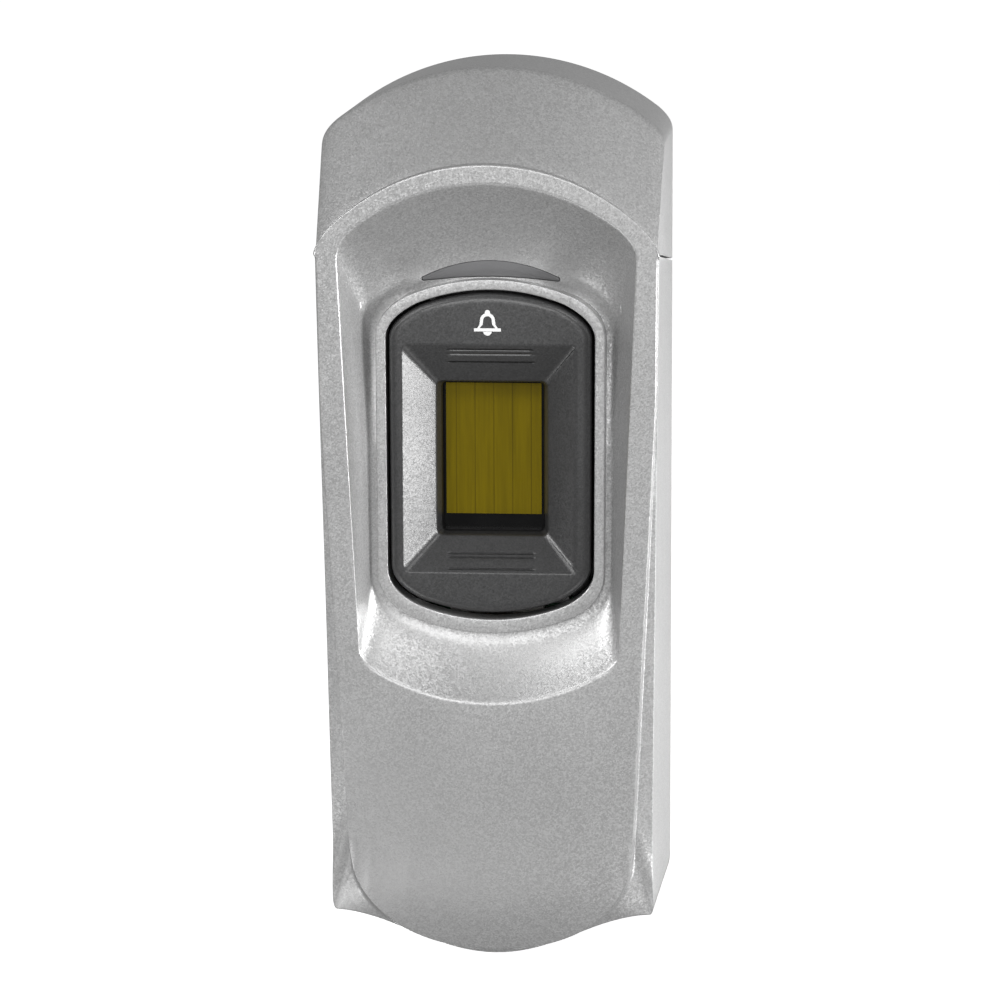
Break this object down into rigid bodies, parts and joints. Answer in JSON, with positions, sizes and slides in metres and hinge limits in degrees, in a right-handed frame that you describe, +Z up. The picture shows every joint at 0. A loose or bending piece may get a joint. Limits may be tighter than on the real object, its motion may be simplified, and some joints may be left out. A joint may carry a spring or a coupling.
{
  "type": "fingerprint scanner terminal",
  "caption": "Narrow wall terminal with a silver two-piece housing, a recessed black rocking sensor module and a smoked status window.",
  "frame": {"origin": "centre of the wall face, on the wall plane", "axes": "+X to the right seen from the front, +Y into the wall, +Z up"},
  "size_m": [0.0498, 0.0382, 0.1318],
  "materials": {
    "silver_paint": "satin metallic silver paint with fine flakes on moulded plastic",
    "module_black": "satin charcoal moulding with a fine sparkle texture",
    "dark_plastic": "matt moulded plastic",
    "black_plastic": "matt black plastic",
    "smoked_window": "smoked translucent plastic",
    "symbol_white": "white print ink",
    "sensor_gold": "olive-gold coated sensor surface",
    "rubber": "black rubber",
    "brass": "turned brass",
    "steel": "zinc-plated steel",
    "circuit_board": "green solder resist",
    "chip_black": "moulded epoxy",
    "white_plastic": "off-white plastic",
    "relay_blue": "moulded case",
    "capacitor_sleeve": "shrink sleeve",
    "terminal_green": "moulded polyamide",
    "flex_amber": "polyimide film"
  },
  "bodies": {
    "base": {"back_plate": "dark_plastic", "hood": "silver_paint", "hood_screws": "steel", "wall_seal": "rubber", "cable_grommet": "rubber", "lock_insert": "brass"},
    "cover": {"front_cover": "silver_paint", "status_window": "smoked_window", "inner_frame": "black_plastic", "frame_screws": "steel", "main_board": "circuit_board", "board_screws": "steel", "processor_chip": "chip_black", "memory_chips": "chip_black", "crystal": "steel", "voltage_regulator": "chip_black", "status_leds": "white_plastic", "relay": "relay_blue", "buzzer": "black_plastic", "capacitors": "capacitor_sleeve", "terminal_block": "terminal_green", "terminal_screws": "steel", "sensor_connector": "white_plastic", "bell_switch_body": "black_plastic", "tamper_switch_body": "black_plastic", "pivot_pin": "steel", "lock_screw": "steel"},
    "rocker": {"sensor_bezel": "module_black", "bell_symbol": "symbol_white", "sensor_package": "black_plastic", "sensor_die": "sensor_gold", "sensor_board": "circuit_board", "sensor_screws": "steel", "sensor_ribbon": "flex_amber"},
    "bell_pin": {"bell_plunger": "white_plastic"},
    "tamper_pin": {"tamper_plunger": "white_plastic"}
  },
  "joints": [
    {"name": "cover_slide", "type": "slide", "parent": "base", "child": "cover", "axis": [0, 0, 1], "range_m": [-0.009, 0]},
    {"name": "bell_rocker", "type": "hinge", "parent": "cover", "child": "rocker", "pos_m": [0, -0.0246, -0.0125], "axis": [-1, 0, 0], "range_deg": [0, 1.2], "stiffness_Nm_per_rad": 1.5, "springref_deg": -1.15},
    {"name": "bell_pin_slide", "type": "slide", "parent": "cover", "child": "bell_pin", "axis": [0, 1, 0], "range_m": [0, 0.0009]},
    {"name": "tamper_pin_slide", "type": "slide", "parent": "cover", "child": "tamper_pin", "axis": [0, 1, 0], "range_m": [0, 0.00105]}
  ],
  "couplings": [
    {"joint": "bell_pin_slide", "follows": "bell_rocker", "m_per_rad": 0.04},
    {"joint": "tamper_pin_slide", "follows": "cover_slide", "ratio": -0.11111}
  ]
}
